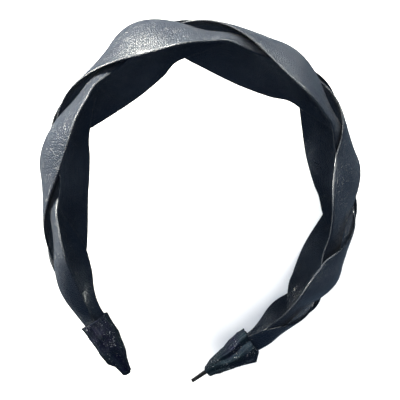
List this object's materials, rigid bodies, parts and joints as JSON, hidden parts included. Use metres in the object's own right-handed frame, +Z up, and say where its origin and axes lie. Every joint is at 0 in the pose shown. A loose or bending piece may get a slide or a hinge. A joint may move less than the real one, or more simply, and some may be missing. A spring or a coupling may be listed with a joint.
{
  "type": "twist headband",
  "caption": "Wide headband arch plaited from flat black leather-look strips, its narrow ends bound with rough black cloth.",
  "frame": {"origin": "centre of the base of the bounding box, on the surface that the headband lies on", "axes": "the headband lies on its side: +Y towards the top of the arch, +X towards its right end as seen from above, +Z up along the width of the band"},
  "size_m": [0.1366, 0.1564, 0.0565],
  "materials": {
    "strip_leather": "soft sheen with a fine grain",
    "wrap_cloth": "rough crumpled cloth",
    "band_plastic": "matte"
  },
  "bodies": {
    "root": {"strip_a": "strip_leather", "strip_b": "strip_leather", "strip_c": "strip_leather", "left_end_wrap": "wrap_cloth", "right_end_wrap": "wrap_cloth", "left_band_tip": "wrap_cloth", "right_band_tip": "band_plastic"}
  },
  "joints": []
}
